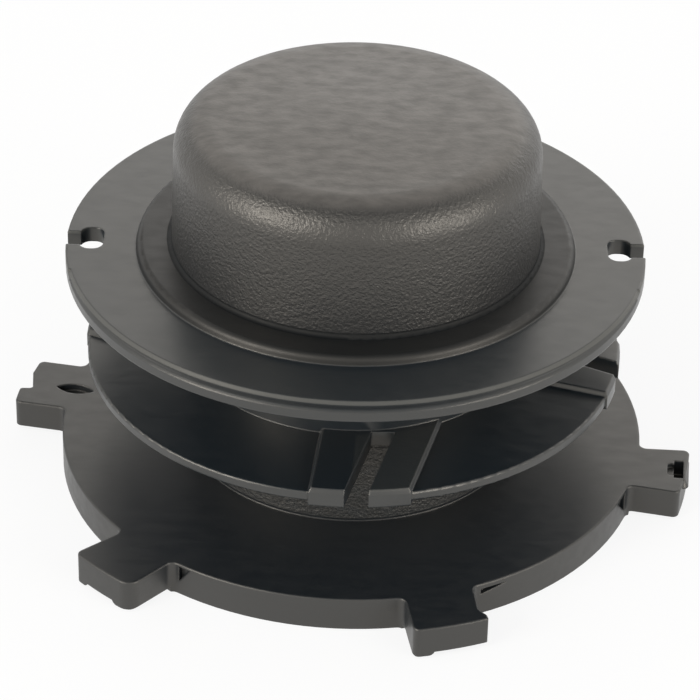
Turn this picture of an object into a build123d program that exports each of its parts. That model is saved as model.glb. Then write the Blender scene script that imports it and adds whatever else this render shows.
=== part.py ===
"""Line spool of a bump-feed trimmer head: one moulding with a knob, three flanges and six drive lugs.

Millimetres, +Z up along the spool axis, origin at the centre of the lower rim's underside, -Y to the front.
Azimuths are degrees from -Y toward +X. A lug's own points are distances out from the axis along its azimuth
and to the side, counter-clockwise positive.
"""
import os
from math import asin, cos, degrees, hypot, radians, sin, sqrt, tan

from build123d import *

# Lower flange
base_r = 42.0
base_top = 5.0
base_plate = 2.6
rim_wall = 2.4
rib_thick = 1.6
rib_lift = 0.4

# Rounding and undersides shared by the lugs
lug_edge = 0.25
root_fillet = 1.1
tip_fillet = 0.9
lug_lift = 0.95
foot_lift = 0.4
foot_tall = 2.8
foot_round = 0.9
foot_spill = 0.3
under_wide = 16.0

# Lugs with plain sides and two feet
block_az = (-40.0, 140.0)
block_out = 7.9
block_cw_root = -4.2
block_cw = -5.5
block_ccw = 5.35
block_cw_foot = 2.6
block_ccw_foot = 3.4
block_round = 2.0

# Lugs with a hook at one corner and one foot
hook_az = (19.5, 199.5)
hook_out = 7.2
hook_cw_root = -4.2
hook_cw = -5.35
hook_ccw = 5.2
hook_ccw_root = 5.6
hook_neck = (4.7, 4.5)
hook_thick = 1.2
hook_round = 0.3
neck_fillet = 1.0
hook_foot = 3.0

# Lug with a window and an overhanging lip
lip_lug_az = 80.7
lip_lug_out = 7.25
lip_lug_near = -5.35
lip_lug_far = 5.5
lip_lug_far_root = 3.95
lip_lug_lift = 0.6
lip_out = 8.0
lip_near = -2.7
lip_thick = 1.2
lip_skew = 7.0
lip_run = 3.0
lip_lean = 25.0
window_size = (1.35, 4.2)
window_out = 6.1
window_side = 0.3
window_depth = 2.4
mark_size = (2.9, 1.0)
mark_out = 5.0
mark_side = 0.1
mark_depth = 0.7

# Lug with a stepped end and a pocket at its root
step_lug_az = -98.0
step_out = 7.55
step_near = 5.6
step_far = -5.6
step_split = 1.9
step_inner = (5.7, 1.5)
step_bend = (6.75, -2.4)
step_far_out = 6.5
step_round = 0.5
step_lift = 0.8
pocket_in = 3.4
pocket_out = 2.3
pocket_wide = 2.4
pocket_side = 0.5
pocket_depth = 1.1

# Wedge pockets in the rim beside the lugs: lip above, height at the lug and length along the rim
block_relief = (0.4, 2.4, 1.8)
hook_relief = (0.8, 0.9, 4.2)
lip_relief = (0.4, 3.2, 3.2)
relief_deep = 0.8
relief_gap = 0.15

# Hub, bore and spring seat
hub_r = 24.0
hub_wall = 2.6
bore_round = 5.0
seat_r = 11.0
seat_wall = 1.8
seat_tall = 4.5
crown_wall = 3.4

# Middle flange with its four line slots
mid_r = 38.0
mid_low = 18.2
mid_thick = 1.5
mid_edge = 0.3
pad_rise = 0.7
pad_lean = 28.0
pad_drop = 0.5
pad_proud = 0.2
pad_cw = 6.6
pad_cw_slant = 7.0
pad_ccw = 7.2
pad_slant = 15.5
pad_sink = 6.0
slot_width = 3.3
slot_clear = 0.2
slot_az = 4.0
slot_pitch = 78.0

# Upper flange with its sloped rim ledge and keyholes
top_r = 40.8
top_low = 33.4
top_thick = 2.3
top_edge = 0.25
ledge_wide = 1.7
ledge_slope = 0.5
ledge_drop = 0.5
ledge_edge = 0.35
ledge_shift = 1.7
ledge_az = 1.3
ledge_half_arc = 74.5
keyhole_az = 92.6
keyhole_in = 3.6
keyhole_size = (3.4, 5.6)
keyhole_round = 1.5
keyhole_throat = 3.5

# Knob and the collar that carries it
collar_wide = 4.7
collar_rise = 1.25
collar_slope = 0.35
collar_round = 0.9
knob_r = 25.9
knob_draft = 1.2
knob_top = 56.2
knob_round = 5.2
knob_foot = 0.6

# Overlap that joins added shapes and clears the ends of cuts
over = 1.0

rim_in = base_r - rim_wall
block_end = base_r + block_out
hook_end = base_r + hook_out
lip_lug_end = base_r + lip_lug_out
lip_end = base_r + lip_out
step_end = base_r + step_out
mid_top = mid_low + mid_thick
top_face = top_low + top_thick
collar_r = knob_r + collar_wide
collar_top = top_face + collar_rise
ledge_r = top_r - ledge_wide + ledge_shift
ledge_floor = top_face - ledge_drop
keyhole_at = top_r - keyhole_in
bore_r = hub_r - hub_wall
pad_inner = hub_r - pad_sink
slot_inner = hub_r + slot_clear
plate_under = base_top - base_plate
crown_under = knob_top - crown_wall
knob_shoulder = knob_r - (knob_top - collar_top) * tan(radians(knob_draft))
half_turns = (0.0, 180.0)
slots = [slot_az + step + turn for step in (0.0, slot_pitch) for turn in half_turns]


def place(az: float, out: float, side: float) -> tuple[float, float]:
    """Top-view point at a distance out along an azimuth and side to its counter-clockwise hand."""
    a = radians(az)
    return (out * sin(a) + side * cos(a), side * sin(a) - out * cos(a))


def face_on(az: float) -> Plane:
    """Horizontal plane at the origin with X outward along an azimuth and Y to its counter-clockwise hand."""
    return Plane(origin=(0, 0, 0), x_dir=(*place(az, 1, 0), 0), z_dir=(0, 0, 1))


def section_on(az: float, back: float = 0.0) -> Plane:
    """Upright plane, from the axis or a line at the back of it, with X outward along an azimuth and Y up."""
    return Plane(origin=(0, back, 0), x_dir=(*place(az, 1, 0), 0), z_dir=(*place(az, 0, -1), 0))


def end_on(az: float) -> Plane:
    """Upright plane through the axis that faces outward along an azimuth, X counter-clockwise and Y up."""
    return Plane(origin=(0, 0, 0), x_dir=(*place(az, 0, 1), 0), z_dir=(*place(az, 1, 0), 0))


def at_radius(radius: float, side: float) -> tuple[float, float]:
    """Lug point at a radius from the axis."""
    return (sqrt(radius**2 - side**2), side)


def between(p: tuple[float, float], q: tuple[float, float]) -> tuple[float, float]:
    """Lug point midway between two others on their arc about the axis."""
    out, side = p[0] + q[0], p[1] + q[1]
    stretch = hypot(*p) / hypot(out, side)
    return (out * stretch, side * stretch)


def rim_cross(p: tuple[float, float], q: tuple[float, float]) -> tuple[float, float]:
    """Lug point where the side from p, inside the lower rim, to q, outside it, crosses the rim."""
    run, rise = q[0] - p[0], q[1] - p[1]
    slope = run**2 + rise**2
    lean = run * p[0] + rise * p[1]
    part = (sqrt(lean**2 - slope * (hypot(*p) ** 2 - base_r**2)) - lean) / slope
    return (p[0] + part * run, p[1] + part * rise)


def slanted(start: float, slant: float, out: float) -> tuple[float, float]:
    """Point at a distance out on a line that leaves the middle flange's rim at start and slants inward."""
    return (out, start + (mid_r - out) * tan(radians(slant)))


def near(shapes: ShapeList, points: list[tuple[float, float]], reach: float = 0.05) -> ShapeList:
    """Vertices of a sketch that lie at the listed points."""
    return shapes.filter_by(lambda v: any(abs(v.X - x) < reach and abs(v.Y - y) < reach for x, y in points))


# Lug outlines, from the counter-clockwise end of the tip round through the rim to the other end
block_points = [
    at_radius(block_end, block_ccw),
    (rim_in, block_ccw),
    (rim_in, block_cw_root),
    at_radius(block_end, block_cw),
]
hook_points = [
    at_radius(hook_end, hook_ccw),
    (hook_end - hook_thick, hook_ccw),
    (base_r + hook_neck[0], hook_neck[1]),
    (rim_in, hook_ccw_root),
    (rim_in, hook_cw_root),
    at_radius(hook_end, hook_cw),
]
lip_points = [
    at_radius(lip_lug_end, lip_lug_far),
    (rim_in, lip_lug_far_root),
    (rim_in, lip_lug_near),
    at_radius(lip_lug_end, lip_lug_near),
]
step_points = [
    at_radius(step_end, step_near),
    (rim_in, step_near),
    (rim_in, step_far),
    (base_r + step_far_out, step_far),
    (base_r + step_bend[0], step_bend[1]),
    (base_r + step_inner[0], step_inner[1]),
    at_radius(step_end, step_split),
]
lugs = [(az, block_points) for az in block_az]
lugs += [(az, hook_points) for az in hook_az]
lugs += [(lip_lug_az, lip_points), (step_lug_az, step_points)]

# Corners of the lugs by the radius that rounds them
lug_roots = []
for az, points in lugs:
    for i, p in enumerate(points):
        if p[0] == rim_in:
            outer = points[i - 1] if points[i - 1][0] != rim_in else points[i + 1]
            lug_roots.append(place(az, *rim_cross(p, outer)))
hook_necks = [place(az, *hook_points[2]) for az in hook_az]
hook_tips = [place(az, *p) for az in hook_az for p in hook_points[:2]]
step_corners = [place(step_lug_az, *p) for p in step_points[-2:]]
block_tips = [place(az, *block_points[0]) for az in block_az]
plain_tips = [place(az, *block_points[-1]) for az in block_az]
plain_tips += [place(az, *hook_points[-1]) for az in hook_az]
plain_tips += [place(lip_lug_az, *p) for p in (lip_points[0], lip_points[-1])]
plain_tips += [place(step_lug_az, *p) for p in (step_points[0], step_points[3])]

# Underside of each lug: azimuth, lift and the spans of its feet
block_feet = [
    (block_cw - foot_spill, block_cw + block_cw_foot),
    (block_ccw - block_ccw_foot, block_ccw + foot_spill),
]
hook_feet = [(hook_cw - foot_spill, hook_cw + hook_foot)]
undersides = [(az, lug_lift, block_feet) for az in block_az]
undersides += [(az, lug_lift, hook_feet) for az in hook_az]
undersides += [(lip_lug_az, lip_lug_lift, []), (step_lug_az, step_lift, [])]

# Wedge pockets: azimuth of the lug, the hand on which the pocket lies, side of the lug's root and sizes
reliefs = [(az, 1, block_ccw, block_relief) for az in block_az]
reliefs += [(az, 1, hook_ccw, hook_relief) for az in hook_az]
reliefs += [(lip_lug_az, -1, -lip_lug_near, lip_relief)]

with BuildPart() as spool:
    # Lower flange and lugs in one outline
    with BuildSketch() as base_outline:
        Circle(base_r)
        for az, points in lugs:
            with BuildLine():
                Polyline(*[place(az, *p) for p in points])
                tip = (points[-1], between(points[-1], points[0]), points[0])
                ThreePointArc(*[place(az, *p) for p in tip])
            make_face()
        fillet(near(base_outline.vertices(), lug_roots), root_fillet)
        fillet(near(base_outline.vertices(), hook_necks), neck_fillet)
        fillet(near(base_outline.vertices(), hook_tips), hook_round)
        fillet(near(base_outline.vertices(), block_tips), block_round)
        fillet(near(base_outline.vertices(), step_corners), step_round)
        fillet(near(base_outline.vertices(), plain_tips), tip_fillet)
    extrude(amount=base_top)
    fillet(spool.faces().sort_by(Axis.Z)[-1].outer_wire().edges(), lug_edge)

    # Undersides of the lugs, raised between rounded feet
    for az, lift, feet in undersides:
        with BuildSketch(end_on(az).offset(base_r)):
            with Locations((0, lift / 2)):
                Rectangle(under_wide, lift)
            for start, stop in feet:
                with Locations(((start + stop) / 2, foot_lift + foot_tall / 2)):
                    RectangleRounded(stop - start, foot_tall, foot_round, mode=Mode.SUBTRACT)
        extrude(amount=block_out + over, mode=Mode.SUBTRACT)

    # Thin lip over the end of the windowed lug, then its window and shallow mark
    with BuildSketch(face_on(lip_lug_az).offset(base_top - lip_thick)) as lip_outline:
        with BuildLine():
            Polyline(
                (lip_end - lip_run, lip_near),
                (lip_end, lip_near),
                (lip_end - (lip_lug_far - lip_near) * tan(radians(lip_skew)), lip_lug_far),
                (lip_end - lip_run, lip_lug_far_root),
                close=True,
            )
        make_face()
        fillet(lip_outline.vertices().sort_by(Axis.X)[-2:], tip_fillet)
    extrude(amount=lip_thick, taper=lip_lean)
    with BuildSketch(face_on(lip_lug_az).offset(base_top)):
        with Locations((base_r + window_out, window_side)):
            Rectangle(*window_size, rotation=lip_skew)
    extrude(amount=-window_depth, mode=Mode.SUBTRACT)
    with BuildSketch(face_on(lip_lug_az).offset(base_top)):
        with Locations((base_r + mark_out, mark_side)):
            SlotOverall(*mark_size, rotation=90 + lip_skew)
    extrude(amount=-mark_depth, mode=Mode.SUBTRACT)

    # Lens-shaped pocket at the root of the stepped lug
    with BuildSketch(face_on(step_lug_az).offset(base_top)):
        with BuildLine():
            pocket_start = (base_r - pocket_in, pocket_side)
            pocket_stop = (base_r + pocket_out, pocket_side)
            pocket_mid = base_r + (pocket_out - pocket_in) / 2
            ThreePointArc(pocket_start, (pocket_mid, pocket_side - pocket_wide / 2), pocket_stop)
            ThreePointArc(pocket_stop, (pocket_mid, pocket_side + pocket_wide / 2), pocket_start)
        make_face()
    extrude(amount=-pocket_depth, mode=Mode.SUBTRACT)

    # Wedge pockets in the rim beside the lugs
    for az, hand, half, (lip, tall, long) in reliefs:
        side = half + root_fillet + relief_gap
        middle = az + hand * degrees(asin((side + long / 2) / base_r))
        with BuildSketch(end_on(middle).offset(base_r - relief_deep)):
            with BuildLine():
                Polyline(
                    (-hand * long / 2, base_top - lip),
                    (-hand * long / 2, base_top - lip - tall),
                    (hand * long / 2, base_top - lip),
                    close=True,
                )
            make_face()
        extrude(amount=relief_deep + over, mode=Mode.SUBTRACT)

    # Hub, flanges and knob turned about the axis
    with BuildSketch(Plane.XZ) as section:
        with BuildLine():
            Polyline(
                (0, plate_under),
                (hub_r + hub_wall, plate_under),
                (hub_r + hub_wall, base_top),
                (hub_r, base_top),
                (hub_r, mid_low),
                (mid_r, mid_low),
                (mid_r, mid_top),
                (hub_r, mid_top),
                (hub_r, top_low),
                (top_r, top_low),
                (top_r, top_face),
                (collar_r + collar_slope, top_face),
                (collar_r, collar_top),
                (knob_r, collar_top),
                (knob_shoulder, knob_top),
                (0, knob_top),
                close=True,
            )
        make_face()
        fillet(near(section.vertices(), [(mid_r, mid_low), (mid_r, mid_top)]), mid_edge)
        fillet(near(section.vertices(), [(top_r, top_low), (top_r, top_face)]), top_edge)
        fillet(near(section.vertices(), [(collar_r, collar_top)]), collar_round)
        fillet(near(section.vertices(), [(knob_r, collar_top)]), knob_foot)
        fillet(near(section.vertices(), [(knob_shoulder, knob_top)]), knob_round)
    revolve(axis=Axis.Z)

    # Thick pads on the middle flange and the slanted line slots between them
    pad_layers = [(mid_low - pad_drop, pad_drop + mid_thick, 0.0), (mid_top, pad_rise, pad_lean)]
    for az in slots:
        for level, tall, lean in pad_layers:
            with BuildSketch(face_on(az).offset(level)):
                with BuildLine():
                    Polyline(
                        slanted(-pad_cw, pad_cw_slant, mid_r + over),
                        slanted(pad_ccw, pad_slant, mid_r + over),
                        slanted(pad_ccw, pad_slant, pad_inner),
                        slanted(-pad_cw, pad_cw_slant, pad_inner),
                        close=True,
                    )
                make_face()
                Circle(mid_r + pad_proud, mode=Mode.INTERSECT)
            extrude(amount=tall, taper=lean)
        with BuildSketch(face_on(az).offset(mid_low - pad_drop)):
            with BuildLine():
                Polyline(
                    slanted(-slot_width / 2, pad_slant, mid_r + over),
                    slanted(slot_width / 2, pad_slant, mid_r + over),
                    slanted(slot_width / 2, pad_slant, slot_inner),
                    slanted(-slot_width / 2, pad_slant, slot_inner),
                    close=True,
                )
            make_face()
        extrude(amount=pad_drop + mid_thick + pad_rise, mode=Mode.SUBTRACT)

    # Ledge round the front of the upper rim: a sloped riser, set back so that it runs out at both ends
    ledge_start = ledge_az - ledge_half_arc
    with BuildSketch(section_on(ledge_start, ledge_shift)):
        with BuildLine():
            Polyline(
                (ledge_r, top_face + over),
                (ledge_r, top_face),
                (ledge_r + ledge_slope, ledge_floor),
                (ledge_r + ledge_wide + over, ledge_floor),
                (ledge_r + ledge_wide + over, top_face + over),
                close=True,
            )
        make_face()
    revolve(axis=Axis((0, ledge_shift, 0), (0, 0, 1)), revolution_arc=2 * ledge_half_arc, mode=Mode.SUBTRACT)
    with BuildSketch(section_on(ledge_start)):
        with BuildLine():
            Polyline(
                (top_r - ledge_edge, ledge_floor),
                (top_r + over, ledge_floor - ledge_edge - over),
                (top_r + over, ledge_floor),
                close=True,
            )
        make_face()
    revolve(axis=Axis.Z, revolution_arc=2 * ledge_half_arc, mode=Mode.SUBTRACT)

    # Keyholes that hold the line ends
    for turn in half_turns:
        with BuildSketch(face_on(keyhole_az + turn).offset(top_low)):
            with Locations((keyhole_at, 0)):
                RectangleRounded(*keyhole_size, keyhole_round)
            with Locations((top_r, 0)):
                Rectangle(2 * (top_r - keyhole_at), keyhole_throat)
        extrude(amount=top_thick, mode=Mode.SUBTRACT)

    # Recess under the lower flange, with a rib to each lug
    with BuildSketch():
        Circle(rim_in)
        Circle(hub_r, mode=Mode.SUBTRACT)
    extrude(amount=plate_under, mode=Mode.SUBTRACT)
    for az, points in lugs:
        with BuildSketch(face_on(az).offset(rib_lift)):
            with Locations(((hub_r + rim_in) / 2, 0)):
                Rectangle(rim_in - hub_r + over, rib_thick)
        extrude(amount=plate_under - rib_lift + over / 2)

    # Hub bore up into the knob, with a ring that seats the spring
    with BuildSketch(Plane.XZ) as bore_section:
        with BuildLine():
            Polyline(
                (0, 0),
                (bore_r, 0),
                (bore_r, crown_under),
                (seat_r, crown_under),
                (seat_r, crown_under - seat_tall),
                (seat_r - seat_wall, crown_under - seat_tall),
                (seat_r - seat_wall, crown_under),
                (0, crown_under),
                close=True,
            )
        make_face()
        fillet(near(bore_section.vertices(), [(bore_r, crown_under)]), bore_round)
    revolve(axis=Axis.Z, mode=Mode.SUBTRACT)

spool.part.label = "spool"
os.makedirs("parts", exist_ok=True)
export_step(spool.part, "parts/spool.step")
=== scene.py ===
"""Studio picture of a moulded trimmer line spool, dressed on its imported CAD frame.

Lengths are metres in the CAD frame unless a name ends in _mm.
+Z runs up the spool's axis and -Y faces the viewer.
"""

import logging
import math
from dataclasses import dataclass, field
from enum import Enum
from typing import Any

import bpy
from mathutils import Matrix, Vector

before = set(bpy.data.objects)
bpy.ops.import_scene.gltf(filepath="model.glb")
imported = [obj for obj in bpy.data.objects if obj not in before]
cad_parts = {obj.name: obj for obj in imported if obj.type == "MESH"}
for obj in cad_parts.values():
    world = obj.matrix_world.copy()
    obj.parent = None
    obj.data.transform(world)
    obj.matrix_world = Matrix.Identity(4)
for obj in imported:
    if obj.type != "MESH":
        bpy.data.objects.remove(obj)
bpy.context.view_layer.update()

LOG = logging.getLogger("spool_scene")
MM = 0.001

Tree = bpy.types.NodeTree
Socket = bpy.types.NodeSocket


def linear(hex_code: str) -> tuple[float, float, float, float]:
    """Turn an sRGB hex colour into linear light.

    Args:
        hex_code: Six hex digits with a leading hash.

    Returns:
        Linear red, green, blue and an alpha of one.
    """
    parts = [int(hex_code[i:i + 2], 16) / 255 for i in (1, 3, 5)]
    lin = [c / 12.92 if c <= 0.04045 else ((c + 0.055) / 1.055) ** 2.4 for c in parts]
    return (lin[0], lin[1], lin[2], 1.0)


def empty_tree(owner: bpy.types.Material | bpy.types.World) -> Tree:
    """Give a material or a world an empty node tree.

    Args:
        owner: Material or world to start afresh.

    Returns:
        Its node tree.
    """
    owner.use_nodes = True
    owner.node_tree.nodes.clear()
    return owner.node_tree


def add_node(tree: Tree, kind: str, inputs: dict[Any, Any] | None = None) -> bpy.types.Node:
    """Add a shader node, set its values and link what feeds it.

    Args:
        tree: Node tree that takes the node.
        kind: Blender's node type name.
        inputs: Attribute names or input sockets (by name or index), each with its value or the socket
            that feeds it.

    Returns:
        The new node.
    """
    node = tree.nodes.new(kind)
    for key, value in (inputs or {}).items():
        if isinstance(value, Socket):
            tree.links.new(value, node.inputs[key])
        elif isinstance(key, str) and hasattr(node, key):
            setattr(node, key, value)
        else:
            node.inputs[key].default_value = value
    return node


def calc(tree: Tree, operation: str, *terms: Any) -> Socket:
    """Add a math node.

    Args:
        tree: Node tree that takes the node.
        operation: Blender's name for what is done with the terms.
        terms: Numbers or sockets, in order.

    Returns:
        Socket with the result.
    """
    return add_node(tree, "ShaderNodeMath", {"operation": operation} | dict(enumerate(terms))).outputs[0]


def ramp(tree: Tree, value: Socket, start: float = 0.0, end: float = 1.0,
         low: float = 0.0, high: float = 1.0, shape: str = "LINEAR") -> Socket:
    """Add a ramp that stays level before its start and past its end.

    Args:
        tree: Node tree that takes the node.
        value: Socket with what runs along the ramp.
        start: Where the ramp gives its low result.
        end: Where the ramp gives its high result.
        low: Result at the start.
        high: Result at the end.
        shape: Blender's name for the ramp's course.

    Returns:
        Socket with the result.
    """
    return add_node(tree, "ShaderNodeMapRange",
                    {"interpolation_type": shape, 0: value, 1: start, 2: end, 3: low, 4: high}).outputs[0]


class Mix(Enum):
    """Blender's mixes of numbers and of colours: index of the first mixed input, index of the output."""

    FLOAT = (2, 0)
    RGBA = (6, 2)


def mix(tree: Tree, kind: Mix, share: Socket, under: Any, over: Any) -> Socket:
    """Add a mix of two numbers or two colours.

    Args:
        tree: Node tree that takes the node.
        kind: What is mixed.
        share: Socket with the second one's share.
        under: First value or the socket that gives it.
        over: Second value or the socket that gives it.

    Returns:
        Socket with the result.
    """
    first, result = kind.value
    node = add_node(tree, "ShaderNodeMix",
                    {"data_type": kind.name, 0: share, first: under, first + 1: over})
    return node.outputs[result]


class Zone(Enum):
    """Places on the moulding with a finish of their own, each within its bounds. The base, ledge, collar and
    foot zones also hold painted shade or a painted highlight in their colour.

    A bound is a direction, an edge along it in millimetres and the width past that edge over which the zone
    sets in. A negative width puts the zone on the near side of the edge. Up counts from the table, and out,
    front and right count from the axis: away from it, towards the viewer and to the viewer's right.
    """

    BASE = (("up", 5.5, -0.3),)
    HUB = (("up", 5.2, 0.3), ("up", 18.3, -0.2), ("out", 24.9, -0.5))
    RIGHT_PAD = (("up", 20.0, 0.2), ("up", 22.0, -0.5), ("out", 24.8, 0.4),
                 ("front", 18.0, 2.0), ("right", 1.6, 0.4))
    LEFT_PAD = (("up", 19.72, 0.06), ("up", 22.0, -0.5), ("out", 24.8, 0.4), ("right", -22.0, -2.0))
    LEDGE_PAINTED_HIGHLIGHT = (("up", 35.22, 0.08), ("up", 35.68, -0.03), ("out", 38.2, 0.3))
    COLLAR_PAINTED_SHADE = (("up", 35.75, 0.1), ("out", 31.4, -0.3))
    FOOT_PAINTED_SHADE = (("up", 36.6, 0.1), ("up", 37.5, -0.1), ("out", 26.65, -0.15))
    KNOB = (("up", 37.4, 0.3),)
    CROWN = (("up", 54.9, 1.1),)


@dataclass(frozen=True)
class Surface:
    """How one zone meets the eye.

    The colour is the resin's own, the roughness spreads what it mirrors, the grain pits the skin, the wear
    lets what lies under the zone show through in streaks, and the shine is how much it mirrors, one half
    being the bare resin. Some zones' colour, and the foot's shine, also hold painted shade or a painted
    highlight.
    """

    colour: str
    roughness: float
    grain_mm: float = 0.0
    wear: float = 0.0
    shine: float = 0.5


@dataclass(frozen=True)
class MouldedPolyamide:
    """Glass-filled black polyamide, injection moulded in a part polished, part spark-eroded tool.

    The polished tool leaves a satin, faintly rippled skin on the flanges that mirrors the room softly. The
    spark-eroded cavity of the knob leaves fine pits that break a highlight into sparkles, and its crown is
    rubbed greyer and duller by handling. The hub between the flanges is rough where line has run over it. The
    collar and the knob's foot are dull; their darker colour is painted shade, and the foot's weak mirroring
    paints shade into its crease. The lower flange's darker colour is painted shade under the flanges above,
    and the ledge's lighter colour is a painted highlight.
    """

    name: str = "polyamide_black_moulded"
    skin: Surface = Surface("#171e23", 0.33)
    zones: tuple[tuple[Zone, Surface], ...] = (
        # Lower flange: the darker colour is painted shade under the flanges above; the roughness is higher
        # too.
        (Zone.BASE, Surface("#12181d", 0.42)),
        (Zone.HUB, Surface("#262727", 0.46, 0.20, 0.5)),
        (Zone.RIGHT_PAD, Surface("#212628", 0.46, 0.02, 0.3)),
        (Zone.LEFT_PAD, Surface("#171e23", 0.70)),
        # Rim ledge: the lighter colour is a painted highlight along the step.
        (Zone.LEDGE_PAINTED_HIGHLIGHT, Surface("#3b3d3c", 0.40)),
        # Collar: the darker colour is painted shade; it is also duller and mirrors less.
        (Zone.COLLAR_PAINTED_SHADE, Surface("#0b0f12", 0.46, shine=0.32)),
        # Knob's foot: the darker colour and weak mirroring paint shade into the crease.
        (Zone.FOOT_PAINTED_SHADE, Surface("#0b0f12", 0.60, shine=0.15)),
        (Zone.KNOB, Surface("#232425", 0.39, 0.15, 0.2)),
        (Zone.CROWN, Surface("#53504d", 0.46, 0.03, 0.5)),
    )
    sheen: str = "#fff6e8"
    ior: float = 1.75
    rough_change: float = 0.04
    streak_mm: tuple[float, float, float] = (3.4, 1.6, 1.6)
    streak_detail: float = 5.0
    streak_fineness: float = 0.6
    worn_from: tuple[float, float] = (0.35, 0.65)
    grain_size_mm: float = 0.48
    grain_detail: float = 2.0
    grain_fineness: float = 0.6
    ripple_size_mm: float = 9.0
    ripple_detail: float = 2.0
    ripple_mm: float = 0.02
    dome_r_mm: float = 26.0
    dome_mm: float = 1.1
    dome_power: float = 2.0
    edge_mm: float = 0.35
    edge_samples: int = 6

    def measure(self, tree: Tree, spot: Socket) -> dict[str, Socket]:
        """Measure where a spot lies along each direction that a zone's bound can name.

        Args:
            tree: Material's node tree.
            spot: Place on the spool in millimetres.

        Returns:
            Sockets with the distances in millimetres, by direction.
        """
        axes = add_node(tree, "ShaderNodeSeparateXYZ", {0: spot})
        front = calc(tree, "MULTIPLY", axes.outputs[1], -1.0)
        level = add_node(tree, "ShaderNodeVectorMath", {"operation": "MULTIPLY", 0: spot, 1: (1.0, 1.0, 0.0)})
        out = add_node(tree, "ShaderNodeVectorMath", {"operation": "LENGTH", 0: level.outputs[0]})
        return {"right": axes.outputs[0], "front": front, "up": axes.outputs[2], "out": out.outputs["Value"]}

    def mask(self, tree: Tree, ways: dict[str, Socket], zone: Zone) -> Socket:
        """Make a soft mask that is one inside a zone.

        Args:
            tree: Material's node tree.
            ways: Distance in millimetres along each direction that a bound can name.
            zone: Zone to mask.

        Returns:
            Socket with the mask.
        """
        inside = None
        for way, edge, width in zone.value:
            step = ramp(tree, ways[way], edge, edge + width, shape="SMOOTHSTEP")
            inside = step if inside is None else calc(tree, "MULTIPLY", inside, step)
        return inside

    def streaks(self, tree: Tree, spot: Socket) -> Socket:
        """Spread the streaks that wear leaves, a little longer to the sides.

        Args:
            tree: Material's node tree.
            spot: Place on the spool in millimetres.

        Returns:
            Socket that is one where the skin is worn most.
        """
        stretched = add_node(tree, "ShaderNodeVectorMath", {"operation": "DIVIDE", 0: spot, 1: self.streak_mm})
        noise = add_node(tree, "ShaderNodeTexNoise",
                         {"Vector": stretched.outputs[0], "Scale": 1.0, "Detail": self.streak_detail,
                          "Roughness": self.streak_fineness})
        return ramp(tree, noise.outputs[0], *self.worn_from)

    def relief(self, tree: Tree, spot: Socket, out: Socket, crown: Socket, grain: Socket) -> Socket:
        """Lean the light over softened edges, ripples, grain pits and the slight dome of the crown.

        Args:
            tree: Material's node tree.
            spot: Place on the spool in millimetres.
            out: Distance from the axis in millimetres.
            crown: Mask of the crown.
            grain: Depth of the grain in millimetres.

        Returns:
            Socket with the normal for the shader.
        """
        soft_edge = add_node(tree, "ShaderNodeBevel",
                             {"samples": self.edge_samples, "Radius": self.edge_mm * MM})
        waves = add_node(tree, "ShaderNodeTexNoise",
                         {"Vector": spot, "Scale": 1 / self.ripple_size_mm, "Detail": self.ripple_detail})
        pits = add_node(tree, "ShaderNodeTexNoise",
                        {"Vector": spot, "Scale": 1 / self.grain_size_mm, "Detail": self.grain_detail,
                         "Roughness": self.grain_fineness})
        reach = calc(tree, "POWER", calc(tree, "DIVIDE", out, self.dome_r_mm), self.dome_power)
        swell = calc(tree, "POWER", ramp(tree, reach, low=1.0, high=0.0), self.dome_power)
        dome = calc(tree, "MULTIPLY", calc(tree, "MULTIPLY", swell, self.dome_mm), crown)
        rippled = calc(tree, "MULTIPLY_ADD", waves.outputs[0], self.ripple_mm, dome)
        height = calc(tree, "MULTIPLY_ADD", pits.outputs[0], grain, rippled)
        bump = add_node(tree, "ShaderNodeBump",
                        {"Strength": 1.0, "Distance": MM, "Height": height, "Normal": soft_edge.outputs[0]})
        return bump.outputs[0]

    def build(self) -> bpy.types.Material:
        """Make the material.

        Returns:
            Material for the whole moulding.
        """
        mat = bpy.data.materials.new(self.name)
        tree = empty_tree(mat)
        place = add_node(tree, "ShaderNodeTexCoord")
        spot = add_node(tree, "ShaderNodeVectorMath",
                        {"operation": "SCALE", 0: place.outputs["Object"], "Scale": 1 / MM}).outputs[0]
        ways = self.measure(tree, spot)
        worn = self.streaks(tree, spot)

        masks = {}
        colour, rough = linear(self.skin.colour), self.skin.roughness
        grain, shine = self.skin.grain_mm, self.skin.shine
        for zone, surface in self.zones:
            whole = masks[zone] = self.mask(tree, ways, zone)
            shown = calc(tree, "MULTIPLY", whole, ramp(tree, worn, low=1.0, high=1.0 - surface.wear))
            colour = mix(tree, Mix.RGBA, shown, colour, linear(surface.colour))
            rough = mix(tree, Mix.FLOAT, whole, rough, surface.roughness)
            grain = mix(tree, Mix.FLOAT, whole, grain, surface.grain_mm)
            shine = mix(tree, Mix.FLOAT, whole, shine, surface.shine)
        rough = calc(tree, "ADD", rough, ramp(tree, worn, low=-self.rough_change, high=self.rough_change))

        normal = self.relief(tree, spot, ways["out"], masks[Zone.CROWN], grain)
        shader = add_node(tree, "ShaderNodeBsdfPrincipled",
                          {"Base Color": colour, "Roughness": rough, "IOR": self.ior,
                           "Specular IOR Level": shine, "Specular Tint": linear(self.sheen),
                           "Normal": normal})
        add_node(tree, "ShaderNodeOutputMaterial", {0: shader.outputs[0]})
        return mat


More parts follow.
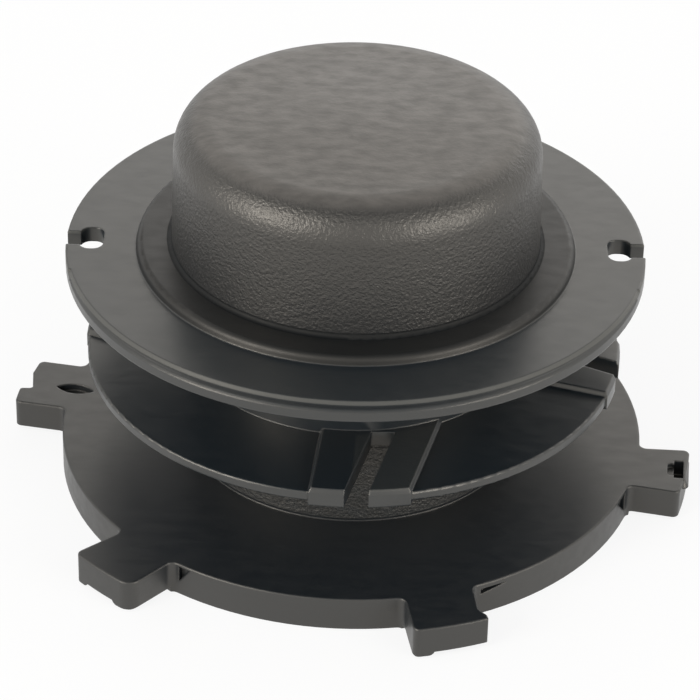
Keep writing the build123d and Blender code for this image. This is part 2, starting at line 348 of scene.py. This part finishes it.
@dataclass(frozen=True)
class PaleTable:
    """Matt white studio table that shows nearly white to the camera and in mirrors, with a soft shadow."""

    name: str = "table_matt_white"
    paint: str = "#f4f3f1"
    glow: float = 0.86

    def build(self) -> bpy.types.Material:
        """Make the material.

        Returns:
            Material for the table's top, clear from below.
        """
        mat = bpy.data.materials.new(self.name)
        tree = empty_tree(mat)
        ray = add_node(tree, "ShaderNodeLightPath")
        side = add_node(tree, "ShaderNodeNewGeometry")
        matt = add_node(tree, "ShaderNodeBsdfDiffuse", {"Color": linear(self.paint)})
        white = add_node(tree, "ShaderNodeEmission", {"Strength": 1.0})
        seen = calc(tree, "MAXIMUM", ray.outputs["Is Camera Ray"], ray.outputs["Is Glossy Ray"])
        shown = calc(tree, "MAXIMUM", seen, ray.outputs["Is Transmission Ray"])
        top = add_node(tree, "ShaderNodeMixShader",
                       {0: calc(tree, "MULTIPLY", shown, self.glow), 1: matt.outputs[0], 2: white.outputs[0]})
        clear = add_node(tree, "ShaderNodeBsdfTransparent")
        both = add_node(tree, "ShaderNodeMixShader",
                        {0: side.outputs["Backfacing"], 1: top.outputs[0], 2: clear.outputs[0]})
        add_node(tree, "ShaderNodeOutputMaterial", {0: both.outputs[0]})
        return mat


@dataclass
class Spool:
    """The one-piece moulding: knob, collar, three flanges, hub and lugs."""

    node: str = "spool"
    finish: MouldedPolyamide = field(default_factory=MouldedPolyamide)

    def dress(self) -> None:
        """Give the CAD solid its moulded finish."""
        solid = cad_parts[self.node]
        material = self.finish.build()
        for slot in solid.material_slots:
            slot.material = material
        LOG.info("dressed %s in %s", self.node, material.name)


@dataclass
class SoftBox:
    """One rectangular studio lamp aimed at the object."""

    name: str
    place: tuple[float, float, float]
    size: tuple[float, float]
    power: float
    aim: tuple[float, float, float] = (0.0, 0.0, 0.03)

    def build(self) -> None:
        """Add the lamp to the scene, out of the camera's sight."""
        data = bpy.data.lights.new(self.name, "AREA")
        data.shape = "RECTANGLE"
        data.size, data.size_y = self.size
        data.energy = self.power
        lamp = bpy.data.objects.new(self.name, data)
        lamp.location = self.place
        lamp.rotation_euler = (Vector(self.aim) - Vector(self.place)).to_track_quat("-Z", "Y").to_euler()
        lamp.visible_camera = False
        bpy.context.collection.objects.link(lamp)
        LOG.info("lit %s", self.name)


@dataclass
class Studio:
    """Pale table, soft lamps and a room with white walls under a dimmer ceiling."""

    table_size: float = 6.0
    walls: str = "#ffffff"
    ceiling: str = "#8c8c8c"
    ceiling_from: tuple[float, float] = (0.72, 0.94)
    room_light: float = 1.0
    table: PaleTable = field(default_factory=PaleTable)
    lamps: tuple[SoftBox, ...] = (
        SoftBox("lamp_back", (0.30, 0.88, 0.40), (1.3, 0.5), 1.7),
        SoftBox("lamp_left", (-0.645, -0.54, 0.35), (0.45, 0.45), 5.0),
        SoftBox("lamp_right", (0.69, -0.48, 0.22), (0.50, 0.24), 3.0),
    )

    def lay_table(self) -> None:
        """Put the table's top under the spool."""
        half = self.table_size / 2
        mesh = bpy.data.meshes.new("table")
        corners = [(-half, -half, 0.0), (half, -half, 0.0), (half, half, 0.0), (-half, half, 0.0)]
        mesh.from_pydata(corners, [], [(0, 1, 2, 3)])
        mesh.materials.append(self.table.build())
        table = bpy.data.objects.new("table", mesh)
        bpy.context.collection.objects.link(table)
        LOG.info("laid the table")

    def light_room(self) -> None:
        """Fill the room with the light of its white walls, which dims to the ceiling's overhead."""
        world = bpy.data.worlds.new("room")
        tree = empty_tree(world)
        way = add_node(tree, "ShaderNodeTexCoord")
        rise = add_node(tree, "ShaderNodeSeparateXYZ", {0: way.outputs["Generated"]})
        above = ramp(tree, rise.outputs[2], *self.ceiling_from, shape="SMOOTHSTEP")
        room = mix(tree, Mix.RGBA, above, linear(self.walls), linear(self.ceiling))
        light = add_node(tree, "ShaderNodeBackground", {"Color": room, "Strength": self.room_light})
        add_node(tree, "ShaderNodeOutputWorld", {0: light.outputs[0]})
        bpy.context.scene.world = world
        LOG.info("lit the room")

    def build(self) -> None:
        """Set up table, room and lamps."""
        self.lay_table()
        self.light_room()
        for lamp in self.lamps:
            lamp.build()


@dataclass
class PhotoCamera:
    """Camera at the viewer's place, a little tilted to one side."""

    place: tuple[float, float, float] = (0.018400, -0.407572, 0.288311)
    aim: tuple[float, float, float] = (-0.000831, 0.008171, 0.012365)
    tilt_deg: float = 1.377
    lens_mm: float = 175.08
    sensor_mm: float = 36.0
    nearest: float = 0.01

    def build(self) -> None:
        """Add the camera and make it the scene's own."""
        data = bpy.data.cameras.new("viewer")
        data.sensor_width = self.sensor_mm
        data.lens = self.lens_mm
        data.clip_start = self.nearest
        camera = bpy.data.objects.new("viewer", data)
        level = (Vector(self.aim) - Vector(self.place)).to_track_quat("-Z", "Y").to_matrix().to_4x4()
        tilt = Matrix.Rotation(math.radians(self.tilt_deg), 4, "Z")
        camera.matrix_world = Matrix.Translation(self.place) @ level @ tilt
        bpy.context.collection.objects.link(camera)
        bpy.context.scene.camera = camera
        LOG.info("placed the camera")


def main() -> None:
    """Build the picture."""
    logging.basicConfig(level=logging.INFO, format="%(name)s: %(message)s")
    bpy.context.scene.view_settings.view_transform = "Standard"
    Spool().dress()
    Studio().build()
    PhotoCamera().build()


if __name__ == "__main__":
    main()
